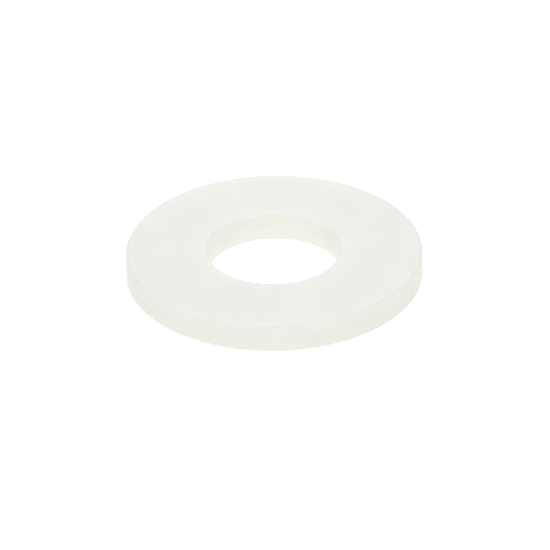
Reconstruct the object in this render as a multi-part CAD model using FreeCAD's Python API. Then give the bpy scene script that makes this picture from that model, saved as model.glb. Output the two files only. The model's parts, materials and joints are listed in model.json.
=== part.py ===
import FreeCAD, Part
import os

# Flat washer for a 1/4 in. or M6 bolt, moulded in one piece from natural nylon.
# Millimetres. The origin is the centre of the bottom face, and +Z runs up through the bore.

OUTER_DIAMETER = 15.88  # 5/8 in.
BORE_DIAMETER = 7.04  # nominally 9/32 in., which is 7.14
THICKNESS = 1.59  # 1/16 in.
OUTER_EDGE_RADIUS = 0.20
BORE_EDGE_RADIUS = 0.20
SAME_RADIUS = 1e-6  # two radii closer than this are the same radius


def circular_edges(shape, radius):
    """The edges of a shape that are circles of one radius, such as both rims of a bore."""
    circles = [edge for edge in shape.Edges if isinstance(edge.Curve, Part.Circle)]
    return [edge for edge in circles if abs(edge.Curve.Radius - radius) < SAME_RADIUS]


def flat_washer():
    """A flat ring whose outer edges and bore edges are slightly rounded."""
    disc = Part.makeCylinder(OUTER_DIAMETER / 2, THICKNESS)
    ring = disc.cut(Part.makeCylinder(BORE_DIAMETER / 2, THICKNESS))
    ring = ring.makeFillet(OUTER_EDGE_RADIUS, circular_edges(ring, OUTER_DIAMETER / 2))
    ring = ring.makeFillet(BORE_EDGE_RADIUS, circular_edges(ring, BORE_DIAMETER / 2))
    return ring.Solids[0]


def save(node, shape):
    """Write one sub-part to its STEP file, and say what was written."""
    shape.exportStep("parts/" + node + ".step")
    print(node, "valid", shape.isValid(), "volume %.2f mm3" % shape.Volume)


os.makedirs("parts", exist_ok=True)
save("flat_washer", flat_washer())
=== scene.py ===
import json
import math

import bmesh
import bpy
from mathutils import Euler, Matrix, Vector, noise


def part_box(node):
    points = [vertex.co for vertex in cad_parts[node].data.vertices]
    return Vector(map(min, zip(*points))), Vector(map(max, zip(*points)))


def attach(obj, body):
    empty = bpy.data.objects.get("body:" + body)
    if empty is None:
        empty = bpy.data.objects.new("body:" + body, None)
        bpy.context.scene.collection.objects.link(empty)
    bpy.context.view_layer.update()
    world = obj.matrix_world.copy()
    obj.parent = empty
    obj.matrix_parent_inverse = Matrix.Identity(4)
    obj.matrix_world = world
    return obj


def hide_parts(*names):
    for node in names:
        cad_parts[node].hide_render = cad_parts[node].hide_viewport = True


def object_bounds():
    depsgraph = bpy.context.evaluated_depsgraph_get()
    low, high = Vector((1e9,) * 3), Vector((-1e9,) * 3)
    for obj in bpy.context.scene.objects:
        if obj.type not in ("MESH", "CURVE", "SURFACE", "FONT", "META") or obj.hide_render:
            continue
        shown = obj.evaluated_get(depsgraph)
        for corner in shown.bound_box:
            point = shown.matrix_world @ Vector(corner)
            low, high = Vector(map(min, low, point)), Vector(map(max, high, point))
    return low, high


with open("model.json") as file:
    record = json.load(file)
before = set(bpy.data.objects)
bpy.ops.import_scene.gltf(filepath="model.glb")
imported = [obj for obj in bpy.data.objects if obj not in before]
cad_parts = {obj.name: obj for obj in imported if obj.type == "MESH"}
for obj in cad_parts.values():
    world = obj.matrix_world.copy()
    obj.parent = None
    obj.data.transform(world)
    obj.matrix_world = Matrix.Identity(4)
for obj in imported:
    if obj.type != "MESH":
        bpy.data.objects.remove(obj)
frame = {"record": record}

# A flat washer of natural nylon, seen from just over 31 degrees above the table, on a pale floor in soft
# light. Everything is in metres. The ring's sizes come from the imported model.

CAD_LOW, CAD_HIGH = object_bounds()
NODE = "flat_washer"
MM = 0.001

# The ring.
OUTER_EDGE_RADIUS = 0.20 * MM  # as on the CAD ring
AROUND = 720  # steps round the ring
ACROSS = 10  # steps across each flat face
UP_WALL = 16  # steps up each upright wall
ROUND_EDGE = 7  # steps round each rounded edge

# The trace of the mould's gate: a low soft swelling on the outer wall, rough where the gate was sheared off.
GATE_TURN = math.radians(280)  # anticlockwise from +X
GATE_WIDTH = 2.4 * MM
GATE_HEIGHT = 0.8 * MM
GATE_MIDDLE = 0.50 * MM  # above the bottom face
GATE_PROUD = 0.12 * MM
GATE_SLOPE = 0.7  # the share of its half width or half height that its sloping side takes
GATE_GRAIN = 0.3 * MM  # size of the sheared face's bumps

# The camera, measured from the centre of the ring's bottom face.
ELEVATION = math.radians(31.15)
ROLL = math.radians(-0.879)
DISTANCE = 240 * MM
LENS = 292.74  # millimetres, on a sensor 36 wide
SENSOR = 36.0
AIM_RIGHT = 0.030 * MM
AIM_BELOW = 0.081 * MM
CLIP_SPAN = 100  # it clips nearer than its distance over this, and farther than its distance times this

# Nylon.
DULL = (0.865, 0.869, 0.840, 1)  # where its faint clouds are darkest
BRIGHT = (0.885, 0.889, 0.860, 1)  # where they are lightest
CLOUD_NOISE = (450, 3)  # scale and detail, as for the other noises
CLOUD_DULL = 0.3  # the noise up to which the tone is DULL
CLOUD_BRIGHT = 0.7  # the noise from which it is BRIGHT
PAINTED_EDGE_LIGHT = (0.893, 0.896, 0.822, 1)  # painted light along the upper rounded edges, which fills the darker line the lighting leaves there
PAINTED_EDGE_LIGHT_GAIN = 27 / 4  # makes the painted light's mask exactly 1 where it peaks on the rounded edges
SHADED = (0.836, 0.839, 0.810, 1)  # painted shade along the foot of both walls, and on the bottom face
SHADE_FULL = 0.1 * MM  # up to this height above the bottom face
SHADE_GONE = 0.5 * MM  # from this height
WALL_SHADE = 0.22  # the share of that painted shade left on the rest of the walls
SOAK = 1.2 * MM  # how far light spreads inside it
SOAK_RGB = (1.0, 0.95, 0.8)  # the shares of that for red, green and blue
ROUGH_NOISE = (2500, 4)
ROUGH_LOW = 0.50
ROUGH_HIGH = 0.60
GRAIN_NOISE = (9000, 5)
GRAIN_STRENGTH = 0.15
GRAIN_DEPTH = 0.01 * MM
IOR = 1.53
SPEC = 0.5

# The floor.
FLOOR_RADIUS = 3.0  # metres
FLOOR_SIDES = 96
FLOOR_DROP = 0.02 * MM  # below the ring, so that the two faces don't meet
FLOOR_COLOUR = (0.9, 0.9, 0.9, 1)
FLOOR_ROUGH = 0.9
FLOOR_SPEC = 0.1
FLOOR_GLOW_COLOUR = (1, 1, 0.92, 1)
FLOOR_GLOW = 0.3675  # under the ring
FLOOR_GLOW_FAR = 0.85  # out where the softboxes no longer reach
GLOW_NEAR = 15 * MM
GLOW_FAR = 80 * MM

# Light.
WHITE = (1, 1, 1, 1)
WORLD_SEEN = 1.0  # how bright the surround looks
WORLD_LIGHT = 0.479  # how brightly it lights the ring and the floor
# Each softbox: azimuth and elevation in degrees, distance, size, and power in watts.
FRONT = (270, 55, 250 * MM, 150 * MM, 0.0992)
BACK = (90, 60, 60 * MM, 40 * MM, 0.01075)
OVER = (270, 73, 31 * MM, 20 * MM, 0.00095)


def mount(name):
    """One of the record's mounts, by its name."""
    return next(m for m in frame["record"]["mounts"] if m["name"] == name)


# --- the ring's shape -----------------------------------------------------------------------------


def arc(centre, radius, start):
    """Points round a quarter turn about a centre, anticlockwise from a start angle, both ends included."""
    points = []
    for step in range(ROUND_EDGE + 1):
        turn = start + math.pi / 2 * step / ROUND_EDGE
        points.append(Vector((centre[0] + radius * math.cos(turn), centre[1] + radius * math.sin(turn))))
    return points


def between(start, end, steps):
    """The points that divide a straight stretch into equal steps, without its two ends."""
    return [start.lerp(end, step / steps) for step in range(1, steps)]


def section(outer, bore, height, bore_edge):
    """The ring's section as a closed loop of (radius, height) points, with its four edges rounded."""
    edge = OUTER_EDGE_RADIUS
    corners = [
        arc((outer - edge, edge), edge, -math.pi / 2),
        arc((outer - edge, height - edge), edge, 0),
        arc((bore + bore_edge, height - bore_edge), bore_edge, math.pi / 2),
        arc((bore + bore_edge, bore_edge), bore_edge, math.pi),
    ]
    steps = [UP_WALL, ACROSS, UP_WALL, ACROSS]
    loop = []
    for index, corner in enumerate(corners):
        following = corners[(index + 1) % len(corners)]
        loop += corner + between(corner[-1], following[0], steps[index])
    return loop


def swell(offset, width):
    """A soft-sided plateau: 1 over the middle of a width, easing down to 0 at its two ends in an S curve."""
    slope = min(max((1 - 2 * abs(offset) / width) / GATE_SLOPE, 0), 1)
    return slope * slope * (3 - 2 * slope)


def gate_trace(turn, outer, radius, height):
    """How far the gate's trace stands out from a point of the section: nothing, except on the outer wall."""
    if radius < outer:
        return 0
    along = (turn - GATE_TURN) * outer
    pad = swell(along, GATE_WIDTH) * swell(height - GATE_MIDDLE, GATE_HEIGHT)
    grain = noise.noise(Vector((along, height, 0)) / GATE_GRAIN)
    return GATE_PROUD * pad * (1 + grain) / 2


def lathe(loop):
    """A closed mesh: a section loop turned about the Z axis, with the gate's trace on its outer wall."""
    mesh = bmesh.new()
    outer = max(radius for radius, height in loop)
    rings = []
    for step in range(AROUND):
        turn = 2 * math.pi * step / AROUND
        ring = []
        for radius, height in loop:
            out = radius + gate_trace(turn, outer, radius, height)
            ring.append(mesh.verts.new((out * math.cos(turn), out * math.sin(turn), height)))
        rings.append(ring)
    for step, ring in enumerate(rings):
        after = rings[(step + 1) % AROUND]
        for index in range(len(loop)):
            up = (index + 1) % len(loop)
            mesh.faces.new((ring[index], after[index], after[up], ring[up]))
    return mesh


def washer():
    """The visible washer, which stands for the CAD ring and rides on its body."""
    low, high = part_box(NODE)
    bore = mount("bore")["dims"]
    height = high[2] - low[2]
    bore_edge = (height - bore["length_mm"] * MM) / 2
    mesh = lathe(section(high[0], bore["r_mm"] * MM, height, bore_edge))
    data = bpy.data.meshes.new("nylon_ring")
    mesh.to_mesh(data)
    mesh.free()
    data.shade_smooth()
    piece = bpy.data.objects.new("nylon_ring", data)
    bpy.context.scene.collection.objects.link(piece)
    data.materials.append(nylon())
    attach(piece, "root")
    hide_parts(NODE)
    return piece


# --- materials ------------------------------------------------------------------------------------


def new_material(name):
    """An empty node material, with its node tree and its Principled shader."""
    material = bpy.data.materials.new(name)
    material.use_nodes = True
    return material, material.node_tree, material.node_tree.nodes["Principled BSDF"]


def noise_node(tree, place, scale, detail):
    """Noise through the piece's own space, from 0 to 1."""
    node = tree.nodes.new("ShaderNodeTexNoise")
    node.inputs["Scale"].default_value = scale
    node.inputs["Detail"].default_value = detail
    tree.links.new(place.outputs["Object"], node.inputs["Vector"])
    return node.outputs["Fac"]


def math_node(tree, operation, *values):
    """One step of arithmetic on sockets and plain numbers."""
    node = tree.nodes.new("ShaderNodeMath")
    node.operation = operation
    for socket, value in zip(node.inputs, values):
        if isinstance(value, float):
            socket.default_value = value
        else:
            tree.links.new(value, socket)
    return node.outputs["Value"]


def range_node(tree, value, start, end, low, high, easing="LINEAR"):
    """A value rescaled so that start becomes low and end becomes high, and held there beyond them."""
    node = tree.nodes.new("ShaderNodeMapRange")
    node.interpolation_type = easing
    node.inputs["From Min"].default_value = start
    node.inputs["From Max"].default_value = end
    node.inputs["To Min"].default_value = low
    node.inputs["To Max"].default_value = high
    tree.links.new(value, node.inputs["Value"])
    return node.outputs["Result"]


def blend_node(tree, share, under, colour):
    """A plain colour laid over another by a share from 0 to 1."""
    node = tree.nodes.new("ShaderNodeMix")
    node.data_type = "RGBA"
    node.inputs["B"].default_value = colour
    tree.links.new(share, node.inputs["Factor"])
    tree.links.new(under, node.inputs["A"])
    return node.outputs["Result"]


def axis_node(tree, vector):
    """A vector's part along the ring's axis."""
    node = tree.nodes.new("ShaderNodeSeparateXYZ")
    tree.links.new(vector, node.inputs["Vector"])
    return node.outputs["Z"]


def nylon_colour(tree, place):
    """Faint clouds, painted light paling the upper rounded edges, and painted shade on the walls, most at
    their foot.
    """
    clouds = tree.nodes.new("ShaderNodeValToRGB")
    clouds.color_ramp.elements[0].position = CLOUD_DULL
    clouds.color_ramp.elements[0].color = DULL
    clouds.color_ramp.elements[1].position = CLOUD_BRIGHT
    clouds.color_ramp.elements[1].color = BRIGHT
    tree.links.new(noise_node(tree, place, *CLOUD_NOISE), clouds.inputs["Fac"])

    # `level` is 1 on the top face and `upright` on the walls, so their product peaks on the rounded edges.
    upward = math_node(tree, "MAXIMUM", axis_node(tree, place.outputs["Normal"]), 0.0)
    level = math_node(tree, "MULTIPLY", upward, upward)
    tilted = math_node(tree, "SUBTRACT", 1.0, level)
    upright = math_node(tree, "MULTIPLY", tilted, tilted)

    # Painted light: the upper rounded edges are made paler, to fill the darker line that the lighting leaves
    # there.
    edge_light = math_node(tree, "MULTIPLY", math_node(tree, "MULTIPLY", level, upright), PAINTED_EDGE_LIGHT_GAIN)
    colour = blend_node(tree, edge_light, clouds.outputs["Color"], PAINTED_EDGE_LIGHT)

    # Painted shade: darker towards the foot of both walls and on the bottom face, and a little darker on the
    # rest of the walls.
    height = axis_node(tree, place.outputs["Object"])
    foot = range_node(tree, height, SHADE_FULL, SHADE_GONE, 1, 0, "SMOOTHSTEP")
    shaded = math_node(tree, "MAXIMUM", foot, math_node(tree, "MULTIPLY", upright, WALL_SHADE))
    return blend_node(tree, shaded, colour, SHADED)


def nylon_skin(tree, place, shader):
    """A satin skin: its gloss varies a little, and it has a very fine grain."""
    rough = range_node(tree, noise_node(tree, place, *ROUGH_NOISE), 0, 1, ROUGH_LOW, ROUGH_HIGH)
    tree.links.new(rough, shader.inputs["Roughness"])
    bump = tree.nodes.new("ShaderNodeBump")
    bump.inputs["Strength"].default_value = GRAIN_STRENGTH
    bump.inputs["Distance"].default_value = GRAIN_DEPTH
    tree.links.new(noise_node(tree, place, *GRAIN_NOISE), bump.inputs["Height"])
    tree.links.new(bump.outputs["Normal"], shader.inputs["Normal"])


def nylon():
    """Natural nylon: milky and faintly yellow, and light soaks into it."""
    material, tree, shader = new_material("nylon")
    place = tree.nodes.new("ShaderNodeTexCoord")
    tree.links.new(nylon_colour(tree, place), shader.inputs["Base Color"])
    nylon_skin(tree, place, shader)
    shader.subsurface_method = "RANDOM_WALK"
    shader.inputs["Subsurface Weight"].default_value = 1.0
    shader.inputs["Subsurface Radius"].default_value = SOAK_RGB
    shader.inputs["Subsurface Scale"].default_value = SOAK
    shader.inputs["IOR"].default_value = IOR
    shader.inputs["Specular IOR Level"].default_value = SPEC
    return material


def pale_floor():
    """A matt, nearly white table top, lit through from below so that it stays white right out to its rim."""
    material, tree, shader = new_material("pale_floor")
    shader.inputs["Base Color"].default_value = FLOOR_COLOUR
    shader.inputs["Roughness"].default_value = FLOOR_ROUGH
    shader.inputs["Specular IOR Level"].default_value = FLOOR_SPEC
    shader.inputs["Emission Color"].default_value = FLOOR_GLOW_COLOUR
    place = tree.nodes.new("ShaderNodeTexCoord")
    reach = tree.nodes.new("ShaderNodeVectorMath")
    reach.operation = "LENGTH"
    tree.links.new(place.outputs["Object"], reach.inputs[0])
    glow = range_node(tree, reach.outputs["Value"], GLOW_NEAR, GLOW_FAR, FLOOR_GLOW, FLOOR_GLOW_FAR)
    tree.links.new(glow, shader.inputs["Emission Strength"])
    return material


# --- the studio -----------------------------------------------------------------------------------


def add_floor():
    """A round table top under the ring, wide enough to fill every view."""
    mesh = bmesh.new()
    bmesh.ops.create_circle(mesh, cap_ends=True, segments=FLOOR_SIDES, radius=FLOOR_RADIUS)
    data = bpy.data.meshes.new("floor")
    mesh.to_mesh(data)
    mesh.free()
    data.materials.append(pale_floor())
    floor = bpy.data.objects.new("floor", data)
    floor.location.z = CAD_LOW.z - FLOOR_DROP
    bpy.context.scene.collection.objects.link(floor)


def add_softbox(name, azimuth, elevation, distance, size, power):
    """A square soft light facing the ring, at a bearing anticlockwise from +X and a height, in degrees."""
    turn = math.radians(azimuth)
    rise = math.radians(elevation)
    flat = distance * math.cos(rise)
    place = Vector((flat * math.cos(turn), flat * math.sin(turn), distance * math.sin(rise)))
    data = bpy.data.lights.new(name, "AREA")
    data.size = size
    data.energy = power
    light = bpy.data.objects.new(name, data)
    light.location = place
    light.rotation_euler = (-place).to_track_quat("-Z", "Y").to_euler()
    bpy.context.scene.collection.objects.link(light)


def add_lights():
    """An even white studio: a softbox in front, a nearer one behind and a small one close overhead."""
    world = bpy.data.worlds.new("studio")
    world.use_nodes = True
    tree = world.node_tree
    background = tree.nodes["Background"]
    background.inputs["Color"].default_value = WHITE
    path = tree.nodes.new("ShaderNodeLightPath")
    strength = range_node(tree, path.outputs["Is Camera Ray"], 0, 1, WORLD_LIGHT, WORLD_SEEN)
    tree.links.new(strength, background.inputs["Strength"])
    bpy.context.scene.world = world
    add_softbox("front_softbox", *FRONT)
    add_softbox("back_softbox", *BACK)
    add_softbox("small_softbox", *OVER)


def add_camera():
    """A long lens at the viewing angle, a little turned, aimed just below the ring's bottom face."""
    data = bpy.data.cameras.new("camera")
    data.sensor_width = SENSOR
    data.lens = LENS
    data.clip_start = DISTANCE / CLIP_SPAN
    data.clip_end = DISTANCE * CLIP_SPAN
    camera = bpy.data.objects.new("camera", data)
    turn = Euler((math.pi / 2 - ELEVATION, 0, 0)).to_matrix()
    aim = turn @ Vector((AIM_RIGHT, -AIM_BELOW, 0))
    place = aim + turn @ Vector((0, 0, DISTANCE))
    camera.matrix_world = Matrix.Translation(place) @ (turn @ Matrix.Rotation(ROLL, 3, "Z")).to_4x4()
    bpy.context.scene.collection.objects.link(camera)
    bpy.context.scene.camera = camera


def main():
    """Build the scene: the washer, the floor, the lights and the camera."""
    washer()
    add_floor()
    add_lights()
    add_camera()
    bpy.context.scene.view_settings.view_transform = "Standard"


main()
